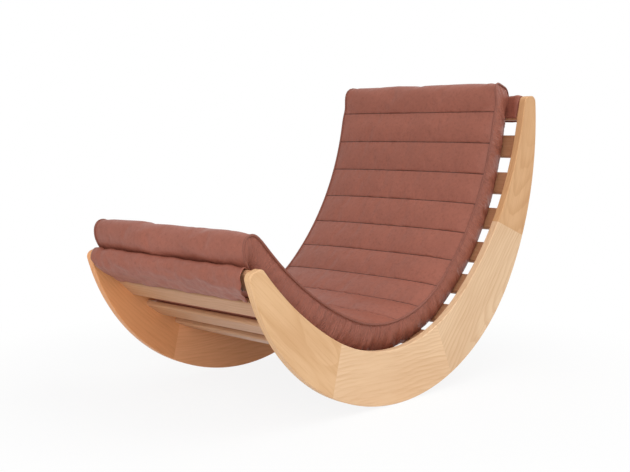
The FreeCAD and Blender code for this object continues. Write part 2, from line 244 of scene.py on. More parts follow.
class PadShape:
    """The pad's front line over foot end, top and head end, and its underside, both from the foot."""

    def __init__(self):
        depth = SLAT_RECESS - SEAT_CLEARANCE
        self.top = three_arcs(PAD_CENTRE, PAD_RADII, PAD_HEADINGS)
        seat = three_arcs(SEAT_CENTRE, SEAT_RADII, SEAT_HEADINGS, depth)
        foot, head = np.array(PAD_FOOT_END), np.array(PAD_HEAD_END)
        start, start_heading = self.top.at(0.0)
        end, end_heading = self.top.at(self.top.length)
        seat_end, seat_end_heading = seat.at(seat.length)
        foot_in, foot_centre, foot_turn, foot_out = corner(
            foot, PAD_FOOT_END_HEADING, start, start_heading, PAD_FOOT_ROUND)
        front_in, front_centre, front_turn, front_out = corner(
            end, end_heading, head, PAD_HEAD_END_HEADING, PAD_HEAD_FRONT_ROUND)
        rear_in, rear_centre, rear_turn, rear_out = corner(
            head, PAD_HEAD_END_HEADING, seat_end, seat_end_heading + 180, PAD_HEAD_REAR_ROUND)
        toe = np.array(ROLL_SEAM)
        chord, side = foot_in - toe, outward(PAD_FOOT_END_HEADING)
        swell = -np.dot(chord, chord) / (2 * np.dot(chord, side))
        lean = 2 * math.degrees(math.atan2(chord[1], chord[0])) - PAD_FOOT_END_HEADING
        self.front = Route().arc(foot_in + side * swell, swell, lean, PAD_FOOT_END_HEADING)
        self.front.arc(foot_centre, PAD_FOOT_ROUND, *foot_turn)
        self.front.line(foot_out, start)
        self.before_top = self.front.length
        for _, _, _, (centre, radius, first, last), _ in self.top.parts:
            self.front.arc(centre, radius, first, last)
        self.after_top = self.front.length
        self.front.line(end, front_in).arc(front_centre, PAD_HEAD_FRONT_ROUND, *front_turn)
        self.front.line(front_out, rear_in).arc(rear_centre, PAD_HEAD_REAR_ROUND, *rear_turn)
        under_start, start_turn = seat.at(UNDERSIDE_START)
        self.under = Route().line(toe, under_start)
        for _, _, _, (centre, radius, first, last), _ in seat.parts:
            self.under.arc(centre, radius, max(first, start_turn), last)
        self.under.line(seat_end, rear_out)
        self.seams = [self.after_top - CHANNEL_WIDTH * (CHANNEL_SEAMS - 1 - i)
                      for i in range(CHANNEL_SEAMS)]

    def half_width(self, length):
        """Of the corded edge: it draws in over the head end's back."""
        start = self.after_top + HEAD_TAPER_START
        back = smooth((length - start) / (self.front.length - start))
        toe = smooth(length / TOE_TAPER)
        wide = PAD_FOOT_HALF_WIDTH + (PAD_HALF_WIDTH - PAD_FOOT_HALF_WIDTH) * toe
        return wide + (PAD_BASE_HALF_WIDTH_AT_HEAD - wide) * back

    def base_half_width(self, length):
        """Where the side band meets the slats: it draws in towards the head."""
        head = smooth((length - self.after_top + BASE_TAPER_START) / BASE_TAPER)
        return PAD_BASE_HALF_WIDTH + (PAD_BASE_HALF_WIDTH_AT_HEAD - PAD_BASE_HALF_WIDTH) * head

    def roll_bulge(self, length):
        """How far the foot roll swells out over its seam."""
        return ROLL_BULGE * math.sin(math.pi * min(length / ROLL_BULGE_LENGTH, 1.0))

    def corner_dip(self, length):
        """How far the corded edge is pulled in where it turns over the roll and the head end."""
        turns = (self.before_top + EDGE_DIP_PLACES[0], self.after_top + EDGE_DIP_PLACES[1])
        return EDGE_DIP * sum(math.exp(-((length - turn) / EDGE_DIP_SPREAD) ** 2) for turn in turns)

    def stations(self, cells):
        """Lengths along the front line, closer together at each seam."""
        marks = [0.0, self.before_top] + self.seams + [self.front.length]
        lengths = [0.0]
        for low, high in zip(marks, marks[1:]):
            count = max(4, round(cells * (high - low) / CHANNEL_WIDTH))
            for step in range(1, count + 1):
                share = step / count
                if low >= self.seams[0] - 1e-6 or high > self.seams[0] - 1e-6:
                    eased = (1 - math.cos(math.pi * share)) / 2
                    share = SEAM_CROWDING * eased + (1 - SEAM_CROWDING) * share
                lengths.append(low + (high - low) * share)
        return np.array(lengths)

    def under_lengths(self, stations):
        """For each front station, the length on the underside that lies across from it."""
        grid = np.linspace(0.0, self.under.length, 600)
        spots = np.array([self.under.at(length)[0] for length in grid])
        across = []
        first, last = self.before_top + UNDERSIDE_MATCHED[0], self.after_top - UNDERSIDE_MATCHED[1]
        for length in (first, *self.seams[1:-1], last):
            point, heading = self.front.at(length)
            offset = (spots - point) @ along(heading)
            depth = (spots - point) @ outward(heading)
            offset[(depth < UNDERSIDE_DEPTH[0]) | (depth > UNDERSIDE_DEPTH[1])] = math.inf
            across.append((length, grid[np.argmin(np.abs(offset))]))
        marks = [(0.0, 0.0)] + across + [(self.front.length, self.under.length)]
        return np.interp(stations, *zip(*marks))


# Meshes

def add_mesh(name, vertices, faces, smooth_faces=True):
    mesh = bpy.data.meshes.new(name)
    mesh.from_pydata([tuple(map(float, v)) for v in vertices], [], faces)
    mesh.validate()
    mesh.polygons.foreach_set("use_smooth", [smooth_faces] * len(mesh.polygons))
    mesh.update()
    made = bpy.data.objects.new(name, mesh)
    bpy.context.scene.collection.objects.link(made)
    return made


def read_points(mesh):
    """The mesh's points as an array with three columns."""
    points = np.zeros(len(mesh.vertices) * 3)
    mesh.vertices.foreach_get("co", points)
    return points.reshape(-1, 3)


def write_points(mesh, points):
    mesh.vertices.foreach_set("co", np.asarray(points, np.float32).ravel())
    mesh.update()


def read_normals(mesh):
    normals = np.zeros(len(mesh.vertices) * 3)
    mesh.vertices.foreach_get("normal", normals)
    return normals.reshape(-1, 3)


def set_attribute(mesh, name, values, domain="POINT"):
    attribute = mesh.attributes.get(name) or mesh.attributes.new(name, "FLOAT", domain)
    attribute.data.foreach_set("value", np.asarray(values, np.float32))


def read_attribute(mesh, name):
    values = np.zeros(len(mesh.vertices))
    mesh.attributes[name].data.foreach_get("value", values)
    return values


def spline(marks, values, fine):
    """A smooth line through values at rising marks (Catmull-Rom), read at the fine marks."""
    values = np.asarray(values, float)
    slopes = np.gradient(values, marks)
    spot = np.clip(np.searchsorted(marks, fine, "right") - 1, 0, len(marks) - 2)
    step = marks[spot + 1] - marks[spot]
    t = (fine - marks[spot]) / step
    return ((1 + 2 * t) * (1 - t) ** 2 * values[spot] + t * (1 - t) ** 2 * step * slopes[spot]
            + t * t * (3 - 2 * t) * values[spot + 1] + t * t * (t - 1) * step * slopes[spot + 1])


def wobble(points, scale, seed):
    """Smooth noise from about -1 to 1 at each point."""
    shift = Vector((seed * 7.31, seed * 3.17, seed * 5.71))
    return np.array([noise.noise(Vector(p) * scale + shift) for p in points])


def tube(name, line, radius, sides=10, side_axis=(0.0, 1.0, 0.0)):
    """A closed tube along a line of points."""
    line = np.asarray(line, float)
    tangents = np.gradient(line, axis=0)
    tangents /= np.linalg.norm(tangents, axis=1)[:, None]
    vertices, faces = [], []
    for point, tangent in zip(line, tangents):
        up = np.cross(tangent, side_axis)
        up /= np.linalg.norm(up)
        out = np.cross(up, tangent)
        for step in range(sides):
            turn = 2 * math.pi * step / sides
            vertices.append(point + (up * math.cos(turn) + out * math.sin(turn)) * radius)
    for ring in range(len(line) - 1):
        for step in range(sides):
            a, b = ring * sides + step, ring * sides + (step + 1) % sides
            faces.append((a, b, b + sides, a + sides))
    faces.append(tuple(reversed(range(sides))))
    last = (len(line) - 1) * sides
    faces.append(tuple(range(last, last + sides)))
    return add_mesh(name, vertices, faces)


# Shader maths

class Wire:
    """A shader socket that takes part in Python expressions."""

    def __init__(self, shader, socket):
        self.shader = shader
        self.socket = socket

    def math(self, operation, first, second=0.0):
        return self.shader.node("ShaderNodeMath", {"operation": operation}, {0: first, 1: second})

    def __add__(self, other):
        return self.math("ADD", self, other)

    def __sub__(self, other):
        return self.math("SUBTRACT", self, other)

    def __rsub__(self, other):
        return self.math("SUBTRACT", other, self)

    def __mul__(self, other):
        return self.math("MULTIPLY", self, other)

    def __pow__(self, other):
        return self.math("POWER", self, other)

    __radd__ = __add__
    __rmul__ = __mul__


class Shader:
    """A material or world whose nodes are written as expressions."""

    def __init__(self, owner):
        owner.use_nodes = True
        self.owner = owner
        self.tree = owner.node_tree
        self.tree.nodes.clear()

    def node(self, kind, settings=None, inputs=None, output=0):
        """A node with its settings, then its sockets' values or links; returns its output or outputs."""
        made = self.tree.nodes.new(kind)
        for key, value in (settings or {}).items():
            setattr(made, key, value)
        for key, value in (inputs or {}).items():
            if isinstance(value, Wire):
                self.tree.links.new(value.socket, made.inputs[key])
            else:
                made.inputs[key].default_value = value
        if isinstance(output, tuple):
            return [Wire(self, made.outputs[name]) for name in output]
        return None if output is None else Wire(self, made.outputs[output])

    def attribute(self, name):
        return self.node("ShaderNodeAttribute", {"attribute_name": name}, output="Fac")

    def place(self):
        return self.node("ShaderNodeTexCoord", output="Object")

    def noise(self, vector, scale, detail=2.0, roughness=0.5):
        return self.node("ShaderNodeTexNoise", {"noise_dimensions": "3D"},
                         {"Vector": vector, "Scale": scale, "Detail": detail,
                          "Roughness": roughness}, output=0)

    def stretch(self, vector, turn, scale, shift=(0.0, 0.0, 0.0)):
        """The place turned about Y and then scaled along its own axes."""
        turned = self.node("ShaderNodeVectorRotate", {"rotation_type": "Y_AXIS"},
                           {"Vector": vector, "Angle": turn})
        scaled = self.node("ShaderNodeVectorMath", {"operation": "MULTIPLY"},
                           {0: turned, 1: scale})
        return self.node("ShaderNodeVectorMath", {"operation": "ADD"}, {0: scaled, 1: shift})

    def parts_of(self, vector):
        return self.node("ShaderNodeSeparateXYZ", None, {0: vector}, (0, 1, 2))

    def band(self, value, low, high, first=0.0, last=1.0):
        """An eased step from the first number to the last as the value goes from low to high."""
        return self.node("ShaderNodeMapRange", {"interpolation_type": "SMOOTHSTEP"},
                         {"Value": value, "From Min": low, "From Max": high,
                          "To Min": first, "To Max": last})

    def mix(self, share, first, second):
        """Two colours mixed by a share."""
        return self.node("ShaderNodeMix", {"data_type": "RGBA"}, {0: share, 6: first, 7: second}, 2)

    def bump(self, height, strength, distance, normal=None):
        inputs = {"Height": height, "Strength": strength, "Distance": distance}
        if normal:
            inputs["Normal"] = normal
        return self.node("ShaderNodeBump", None, inputs)

    def blend(self, share, first, second):
        """Two surfaces mixed by a share."""
        return self.node("ShaderNodeMixShader", None, {0: share, 1: first, 2: second})

    def background_rays(self):
        """1 for the rays that should see the plain white background."""
        seen, mirrored, through = self.node("ShaderNodeLightPath", output=(
            "Is Camera Ray", "Is Glossy Ray", "Is Transmission Ray"))
        return seen + mirrored + through

    def output(self, surface, kind="ShaderNodeOutputMaterial"):
        self.node(kind, None, {"Surface": surface}, None)
        return self.owner

    def principled(self, **inputs):
        """Links a Principled shader with these inputs to the output."""
        settings = {key.replace("_", " "): value for key, value in inputs.items()}
        return self.output(self.node("ShaderNodeBsdfPrincipled", None, settings))


def wood(name, heading, seed, tone, lying=False):
    """Beech with soft growth rings cut across a leaning trunk, so that they end in arches."""
    shader = Shader(bpy.data.materials.new(name))
    where = shader.place()
    if lying:
        where = shader.node("ShaderNodeVectorRotate", {"rotation_type": "Z_AXIS"},
                            {"Vector": where, "Angle": math.pi / 2})
    turn = math.radians(heading)
    shift = (seed * 0.137, 0.0, seed * 0.061)
    # The distance from the trunk's heart line, counted in rings
    length, thickness, width = shader.parts_of(shader.stretch(where, turn, (1, 1, 1), shift))
    drift = shader.noise(shader.stretch(where, turn, (1.1, 3.6, 3.6), shift), 1.0, 2.0)
    sway = shader.noise(shader.stretch(where, turn, (5.0, 18.0, 18.0), shift), 1.0, 2.0)
    level = length * 0.09 + thickness + (drift - 0.5) * 0.12
    across = width + (drift - 0.5) * 0.13 + (sway - 0.5) * 0.02
    ring = (across * across + level * level) ** 0.5 * RINGS_PER_METRE + (sway - 0.5) * 1.2
    grain = shader.node("ShaderNodeMath", {"operation": "FRACT"}, {0: ring})
    late = shader.band(grain, 0.30, 0.92) - shader.band(grain, 0.92, 1.0)
    # Pores and flecks drawn out along the grain, and larger pale and dark areas
    pores = shader.noise(shader.stretch(where, turn, (55.0, 1500.0, 1500.0)), 1.0, 3.0, 0.6)
    flecks = shader.noise(shader.stretch(where, turn, (9.0, 210.0, 210.0)), 1.0, 4.0, 0.6)
    cloud = shader.noise(shader.stretch(where, turn, (3.0, 11.0, 11.0), shift), 1.0, 3.0)
    strength = shader.band(shader.noise(where, 3.2, 1.0), 0.35, 0.70, 0.08, 0.32)
    light, mid, dark = tone
    colour = shader.mix(shader.band(cloud, 0.30, 0.70), light, mid)
    colour = shader.mix(late * strength, colour, dark)
    colour = shader.mix(shader.band(flecks, 0.46, 0.75, 0.0, 0.34), colour, dark)
    colour = shader.mix(shader.band(pores, 0.58, 0.78, 0.0, 0.22), colour, dark)
    rough = 0.44 + late * 0.04 + (pores - 0.5) * 0.12
    normal = shader.bump(pores + late * 0.3, 0.08, 0.0004)
    return shader.principled(Base_Color=colour, Roughness=rough, Normal=normal,
                             Specular_IOR_Level=0.30)


def leather(name, colour, worked=True):
    """Soft pigmented leather with fine grain; a worked piece has gathers and painted shade in its
    stitched seams.
    """
    shader = Shader(bpy.data.materials.new(name))
    where = shader.place()
    cloud = shader.noise(where, 7.0, 3.0, 0.55)
    creases = shader.noise(where, 60.0, 4.0, 0.6)
    pebbles = shader.node("ShaderNodeTexVoronoi", {"feature": "SMOOTH_F1"},
                          {"Vector": where, "Scale": 650.0, "Smoothness": 0.6}, output="Distance")
    speckle = shader.noise(where, 480.0, 3.0, 0.6)
    deep = tuple(c * 0.70 for c in colour[:3]) + (1.0,)
    pale = tuple(min(1.0, c * 1.25) for c in colour[:3]) + (1.0,)
    tint = shader.mix(shader.band(cloud, 0.30, 0.70, 0.30, 0.70), deep, pale)
    tint = shader.mix(0.45, tint, colour)
    tint = shader.mix(shader.band(creases, 0.55, 0.75, 0.0, 0.22), tint, deep)
    tint = shader.mix(shader.band(speckle, 0.52, 0.74, 0.0, 0.42), tint, deep)
    tint = shader.mix(shader.band(speckle, 0.26, 0.44, 0.28, 0.0), tint, pale)
    mottle = shader.noise(where, 120.0, 3.0, 0.65)
    tint = shader.mix(shader.band(mottle, 0.50, 0.72, 0.0, 0.50), tint, deep)
    tint = shader.mix(shader.band(mottle, 0.28, 0.48, 0.26, 0.0), tint, pale)
    rough = 0.47 + (creases - 0.5) * 0.24 + (cloud - 0.5) * 0.12
    normal = shader.bump(pebbles * 0.7 + creases * 0.9, 0.32, 0.0006)
    if worked:
        # Painted shade: the sunk seams and the line beside the cord are darkened almost to black where
        # the seam mark is high
        seam_shade_mask = shader.attribute("seam")
        seam_shadow_colour = tuple(c * 0.16 for c in colour[:3]) + (1.0,)
        tint = shader.mix(shader.band(seam_shade_mask, 0.40, 0.85, 0.0, 0.9), tint, seam_shadow_colour)
        pleat = shader.node("ShaderNodeCombineXYZ", None, {
            "X": shader.attribute("along") * 230.0, "Y": shader.attribute("down") * 2.2})
        pleats = shader.noise(pleat, 1.0, 2.0)
        normal = shader.bump(pleats * shader.attribute("gather"), 1.0, 0.007, normal)
    return shader.principled(Base_Color=tint, Roughness=rough, Normal=normal,
                             Specular_IOR_Level=0.32)


def steel(name):
    """Drawn steel with faint streaks along its length."""
    shader = Shader(bpy.data.materials.new(name))
    streaks = shader.noise(shader.stretch(shader.place(), 0.0, (300.0, 6.0, 300.0)), 1.0, 3.0)
    tint = shader.mix(streaks, srgb(120, 122, 125), srgb(165, 167, 170))
    return shader.principled(Base_Color=tint, Metallic=1.0, Roughness=0.35 + streaks * 0.15)


def give(piece, material):
    """Makes the material the piece's only one."""
    piece.data.materials.clear()
    piece.data.materials.append(material)


# Settings a user would change

class ChaiseWood(bpy.types.PropertyGroup):
    light: FloatVectorProperty(
        name="Light wood", description="Colour of the early wood", subtype="COLOR", size=4,
        min=0.0, max=1.0, default=srgb(242, 206, 166))
    mid: FloatVectorProperty(
        name="Wood", description="Main colour of the oiled wood", subtype="COLOR", size=4,
        min=0.0, max=1.0, default=srgb(232, 193, 152))
    dark: FloatVectorProperty(
        name="Late wood", description="Colour of the rings and pores", subtype="COLOR", size=4,
        min=0.0, max=1.0, default=srgb(206, 156, 108))
    # Painted shade and warm bounced light: this tint makes the left side's boards redder and darker than
    # the right side's
    left_side_painted_shade: FloatVectorProperty(
        name="Left side's warmth", description="Tints the boards of the left side", size=3,
        min=0.0, max=2.0, default=(1.14, 0.88, 0.74))
    # The foot slats' tint: partly their browner wood, partly painted shade
    slat_shade: FloatVectorProperty(
        name="Foot slats' shade", description="Tints the four slats at the foot", size=3, min=0.0,
        max=2.0, default=(0.73, 0.60, 0.55))
    # Painted shade: the other slats are darkened where they sit behind the pad, between the sides
    rear_slat_painted_shade: FloatVectorProperty(
        name="Slats' shade", description="Tints the other slats", size=3, min=0.0, max=2.0,
        default=(0.60, 0.44, 0.38))
    edge_round: FloatProperty(
        name="Edge rounding", description="How far the bevel softens the sides' eased edges",
        default=0.0012, min=0.0, max=0.004, unit="LENGTH")


class ChaisePad(bpy.types.PropertyGroup):
    colour: FloatVectorProperty(
        name="Leather", description="Colour of the pad's leather", subtype="COLOR", size=4,
        min=0.0, max=1.0, default=srgb(156, 93, 76))
    crown: FloatProperty(
        name="Crown", description="How much higher the pad is in the middle than at its edges",
        default=0.010, min=0.0, max=0.02, unit="LENGTH")
    puff: FloatProperty(
        name="Channel puff", description="Height of each channel over its seams before filling",
        default=0.005, min=0.0, max=0.012, unit="LENGTH")
    band_bulge: FloatProperty(
        name="Band bulge", description="How far the side bands swell out before filling",
        default=0.006, min=0.0, max=0.02, unit="LENGTH")
    seam_depth: FloatProperty(
        name="Seam depth", description="How deep the stitched seams are sunk", default=0.0022,
        min=0.0, max=0.006, unit="LENGTH")
    pressure: FloatProperty(
        name="Filling pressure", description="Pressure that swells the cover", default=4.0,
        min=0.0, max=12.0)
    slack: FloatProperty(
        name="Slack", description="How much larger the leather is cut than the foam",
        default=0.007, min=0.0, max=0.05)
    swell: FloatProperty(
        name="Swell limit", description="How far a point of the front may move as it fills",
        default=0.009, min=0.001, max=0.03, unit="LENGTH")
    band_swell: FloatProperty(
        name="Band swell limit", description="How far a point of the side bands may move",
        default=0.003, min=0.0005, max=0.03, unit="LENGTH")
    gather: FloatProperty(
        name="Gathers", description="Height of the gathers down the side bands", default=0.0060,
        min=0.0, max=0.01, unit="LENGTH")
    pucker: FloatProperty(
        name="Puckers", description="Height of the small folds beside the seams", default=0.0032,
        min=0.0, max=0.01, unit="LENGTH")
    cells: IntProperty(
        name="Cells per channel", description="Mesh cells from one seam to the next", default=12,
        min=6, max=20)
    rows: IntProperty(
        name="Cells across", description="Mesh cells from edge to edge", default=68, min=20,
        max=120)
    band_cells: IntProperty(
        name="Band cells", description="Mesh cells from the cord down to the slats", default=10,
        min=4, max=20)
    cord_radius: FloatProperty(
        name="Cord radius", description="Radius of the welt cord", default=0.0033, min=0.001,
        max=0.004, unit="LENGTH")
    hide_thickness: FloatProperty(
        name="Hide thickness", description="Thickness of the pockets' leather", default=0.002,
        min=0.001, max=0.004, unit="LENGTH")


class ChaiseStage(bpy.types.PropertyGroup):
    key: FloatProperty(
        name="Key light", description="Power of the large light above", default=32.0, min=0.0,
        unit="POWER")
    fill: FloatProperty(
        name="Fill light", description="Power of the light beside the camera", default=23.0,
        min=0.0, unit="POWER")
    room: FloatProperty(
        name="Room light", description="Light from above and in front", default=0.72,
        min=0.0, max=2.0)
    room_behind: FloatProperty(
        name="Room light behind", description="Light from behind and below", default=0.22,
        min=0.0, max=2.0)
    floor_glow: FloatProperty(
        name="Floor glow", description="Share of plain white in the floor under the object",
        default=0.88, min=0.0, max=1.0)
    shadow_reach: FloatProperty(
        name="Shadow reach", description="Where the floor has faded to plain white",
        default=1.4, min=0.5, max=6.0, unit="LENGTH")


# Operators

def tones(look, tint=(1.0, 1.0, 1.0)):
    """The light, middle and dark wood colours, tinted."""
    return [tuple(c * t for c, t in zip(colour, tint)) + (1.0,)
            for colour in (look.light, look.mid, look.dark)]


class MakeSides(bpy.types.Operator):
    """Gives the boards of both sides their wood, each with its own grain; the left side's is tinted with
    painted shade and warm bounced light
    """

    bl_idname = "chaise.make_sides"
    bl_label = "Sides"

    def execute(self, context):
        look = context.scene.chaise_wood
        seed = 1.0
        # The left side's tint is painted shade and warm bounced light
        for side, painted_shade_of_side in (("right", (1.0, 1.0, 1.0)), ("left", look.left_side_painted_shade)):
            for board, (heading, tint) in BOARDS.items():
                tone = tones(look, [a * b for a, b in zip(painted_shade_of_side, tint)])
                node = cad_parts["%s_%s" % (side, board)]
                give(node, wood("wood_%s_%s" % (side, board), heading, seed, tone))
                bevel = node.modifiers.new("eased edges", "BEVEL")
                bevel.width = look.edge_round
                bevel.segments = 2
                bevel.limit_method = "ANGLE"
                bevel.angle_limit = math.radians(35)
                bevel.harden_normals = True
                seed += 1.7
        return {"FINISHED"}


class MakeSlats(bpy.types.Operator):
    """Gives the slats, their tenons and the board splines their wood, and the bar its steel"""

    bl_idname = "chaise.make_slats"
    bl_label = "Slats and joinery"

    def execute(self, context):
        look = context.scene.chaise_wood
        for index in range(1, SLATS + 1):
            # The slats are darkened with painted shade, the rear ones most
            tone = tones(look, look.slat_shade if index <= FOOT_SLATS else look.rear_slat_painted_shade)
            give(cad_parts["slat_%02d" % index],
                 wood("wood_slat_%02d" % index, 0.0, 20.0 + 2.3 * index, tone, lying=True))
        # The joinery takes the rear slats' tint, painted shade included
        joinery = wood("wood_joinery", 0.0, 60.0, tones(look, look.rear_slat_painted_shade))
        for side in ("left", "right"):
            give(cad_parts[side + "_slat_tenons"], joinery)
            give(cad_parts[side + "_board_splines"], joinery)
        give(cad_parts["foot_counterweight"], steel("steel_bar"))
        return {"FINISHED"}


class Skin:
    """The pad's points and faces; each point has its place along the front and down the band."""

    def __init__(self):
        self.points, self.walked, self.down, self.faces = [], [], [], []

    def add(self, point, y, length, down):
        self.points.append((point[0], y, point[1]))
        self.walked.append(length)
        self.down.append(down)
        return len(self.points) - 1


class MakePad(bpy.types.Operator):
    """Builds the channelled leather pad, swells it with cloth and works in its wrinkles"""

    bl_idname = "chaise.make_pad"
    bl_label = "Pad"

    def front_row(self, skin, look, shape, length, shares):
        """One row of points across the front: crowned, puffed between its seams, swollen at the roll."""
        spot, heading = shape.front.at(length)
        on_top = smooth((length - shape.before_top) / CROWN_FADE[0])
        on_top *= smooth((shape.after_top - length) / CROWN_FADE[1])
        half = shape.half_width(length)
        phase = ((length - shape.seams[0]) / CHANNEL_WIDTH) % 1.0
        puff = look.puff * 4 * phase * (1 - phase)
        if not shape.seams[0] <= length <= shape.seams[-1]:
            puff = 0.3 * look.puff
        row = []
        for share in shares:
            rise = look.crown * (1 - abs(share) ** 3.5) * on_top
            rise += puff * (1 - abs(share) ** 6) * on_top
            rise += shape.roll_bulge(length) * (1 - 0.3 * abs(share) ** 8)
            rise -= shape.corner_dip(length) * abs(share) ** 10
            row.append(skin.add(spot - outward(heading) * rise, half * share, length, 0.0))
        return row

    def under_row(self, skin, shape, length, under_length, blend, shares):
        """One row of points across the underside."""
        spot, _ = shape.under.at(under_length)
        half = shape.half_width(length)
        half += (shape.base_half_width(length) - half) * blend
        return [skin.add(spot, half * share, length, 1.0) for share in shares]

    def side_band(self, skin, look, stations, tops, bases, side):
        """A side band from the cord's line down to the slats, bulging outwards."""
        steps = look.band_cells
        columns = []
        for length, first, last in zip(stations, tops, bases):
            if first == last:
                columns.append([first] * (steps + 1))
                continue
            top, base = np.array(skin.points[first]), np.array(skin.points[last])
            tall = min(1, float(np.linalg.norm(top - base)) / BAND_FULL_HEIGHT)
            column = [first]
            for step in range(1, steps):
                share = step / steps
                spot = top + (base - top) * share
                bulge = look.band_bulge * math.sin(math.pi * share ** 0.8) * tall
                column.append(skin.add((spot[0], spot[2]), spot[1] + side * bulge, length, share))
            columns.append(column + [last])
        for near, far in zip(columns, columns[1:]):
            for step in range(steps):
                loop = list(dict.fromkeys((near[step], near[step + 1], far[step + 1], far[step])))
                if len(loop) > 2:
                    skin.faces.append(tuple(loop if side < 0 else reversed(loop)))

    def build(self, look, shape):
        """The pad's closed mesh: front, underside and two side bands."""
        stations = shape.stations(look.cells)
        under = shape.under_lengths(stations)
        shares = np.linspace(-1.0, 1.0, look.rows + 1)
        shares = (1 - EDGE_CROWDING) * shares + EDGE_CROWDING * np.sin(shares * math.pi / 2)
        skin = Skin()
        front = [self.front_row(skin, look, shape, length, shares) for length in stations]
        below = [front[0]]
        last = len(stations) - 1
        for index in range(1, last):
            blend = smooth(min(1.0, index / END_CELLS, (last - index) / END_CELLS))
            below.append(self.under_row(skin, shape, stations[index], under[index], blend, shares))
        below.append(front[-1])
        for index in range(last):
            for row in range(look.rows):
                a, b = front[index][row], front[index][row + 1]
                c, d = front[index + 1][row + 1], front[index + 1][row]
                skin.faces.append((a, d, c, b))
                a, b = below[index][row], below[index][row + 1]
                c, d = below[index + 1][row + 1], below[index + 1][row]
                skin.faces.append((a, b, c, d))
        for edge, side in ((0, -1), (look.rows, 1)):
            tops, bases = ([row[edge] for row in rows] for rows in (front, below))
            self.side_band(skin, look, stations, tops, bases, side)
        pad = add_mesh("pad", skin.points, skin.faces)
        set_attribute(pad.data, "along", skin.walked)
        set_attribute(pad.data, "down", skin.down)
        return pad, stations, front, below

    def swell(self, context, pad, held, limits, look):
        """Cloth under pressure between the seams, then capped and applied."""
        start = read_points(pad.data)
        group = pad.vertex_groups.new(name="held")
        group.add([int(i) for i in np.nonzero(held)[0]], 1.0, "REPLACE")
        cloth = pad.modifiers.new("filling", "CLOTH")
        settings = cloth.settings
        settings.quality = 6
        settings.mass = 0.4
        settings.tension_stiffness = 25
        settings.compression_stiffness = 25
        settings.shear_stiffness = 8
        settings.bending_stiffness = 3.0
        settings.use_pressure = True
        settings.uniform_pressure_force = look.pressure
        settings.vertex_group_mass = "held"
        settings.pin_stiffness = 1.0
        settings.shrink_min = -look.slack
        settings.effector_weights.gravity = 0.0
        cloth.collision_settings.use_self_collision = False
        cloth.collision_settings.use_collision = False
        for number in range(1, FILLING_FRAMES + 1):
            context.scene.frame_set(number)
        found = read_points(pad.evaluated_get(context.evaluated_depsgraph_get()).data)
        pad.modifiers.remove(cloth)
        pad.vertex_groups.remove(group)
        context.scene.frame_set(1)
        move = found - start
        size = np.maximum(np.linalg.norm(move, axis=1), 1e-9)
        share = limits * np.tanh(size / limits) / size
        write_points(pad.data, start + move * share[:, None])

    def stitch(self, pad, front, seam_rows, look):
        """Sinks the seams, marks them and the corded edge for the leather's painted shade, and keeps
        them and the edges crisp.
        """
        points = read_points(pad.data)
        normals = read_normals(pad.data)
        seam = np.zeros(len(points))
        crisp = {}
        for index in seam_rows:
            row = front[index]
            seam[row] = 1.0
            inner = row[1:-1]
            points[inner] -= normals[inner] * look.seam_depth
            crisp.update({tuple(sorted(pair)): SEAM_CREASE for pair in zip(row, row[1:])})
        for side in (0, -1):
            line = [row[side] for row in front]
            # The corded edge's mark: painted shadow beside the cord, a little lighter than in the seams
            seam[line] = CORD_PAINTED_SHADOW
            crisp.update({tuple(sorted(pair)): CORD_CREASE for pair in zip(line, line[1:])})
        write_points(pad.data, points)
        set_attribute(pad.data, "seam", seam)
        creases = [crisp.get(tuple(sorted(edge.vertices)), 0.0) for edge in pad.data.edges]
        set_attribute(pad.data, "crease_edge", creases, "EDGE")

    def subdivide(self, context, pad):
        """Rounds the pad's cells and keeps its attributes."""
        modifier = pad.modifiers.new("smooth", "SUBSURF")
        modifier.levels = 1
        made = bpy.data.meshes.new_from_object(
            pad.evaluated_get(context.evaluated_depsgraph_get()))
        pad.modifiers.clear()
        pad.data = made
        made.polygons.foreach_set("use_smooth", [True] * len(made.polygons))

    def wrinkle(self, pad, shape, look):
        """Gathers down the side bands, slanting folds near the head and puckers beside the seams."""
        mesh = pad.data
        points, normals = read_points(mesh), read_normals(mesh)
        run, down = read_attribute(mesh, "along"), read_attribute(mesh, "down")
        band = smooth(np.minimum(down, 1 - down) / 0.12)
        lengths = run - shape.before_top
        seat = smooth((lengths - GATHERS_START[0]) / GATHERS_START[1])
        seat *= smooth((GATHERS_END[0] - lengths) / GATHERS_END[1])
        head = smooth((lengths - FOLDS_START[0]) / FOLDS_START[1])
        side = np.sign(points[:, 1])
        pleat = np.column_stack((run * GATHERS_PER_METRE, down * 1.3 + side * 9, run * 0))
        slant = np.column_stack(((run + down * 0.05) * FOLDS_PER_METRE, down * 2.0 + side * 5,
                                 run * 0))
        pleats = wobble(pleat, 1.0, 1.0)
        folds = wobble(slant, 1.0, 2.0)
        height = band * look.gather * (pleats * (0.35 + 0.65 * seat) + folds * 0.6 * head)
        phase = ((run - shape.seams[0]) / CHANNEL_WIDTH) % 1.0
        near_seam = np.exp(-np.minimum(phase, 1 - phase) * 9) * (down < 0.01)
        near_seam *= smooth((run - shape.seams[0]) / SEAM_REACH)
        near_seam *= smooth((shape.after_top - run) / SEAM_REACH)
        pucker = np.column_stack((points[:, 1] * PUCKERS_PER_METRE, run * 14, run * 0))
        puckers = wobble(pucker, 1.0, 3.0)
        height += near_seam * look.pucker * puckers
        height += wobble(points, 9.0, 4.0) * 0.0016 * (down < 0.95)
        roll = smooth((shape.before_top + 0.05 - run) / 0.05) * (down < 0.01)
        height += roll * wobble(points * (1.0, 0.6, 2.0), 22.0, 5.0) * 0.0010
        seam = read_attribute(mesh, "seam")
        height *= 1 - smooth(seam / 0.6)
        write_points(mesh, points + normals * height[:, None])
        set_attribute(mesh, "gather", band * (0.4 + 0.6 * seat))

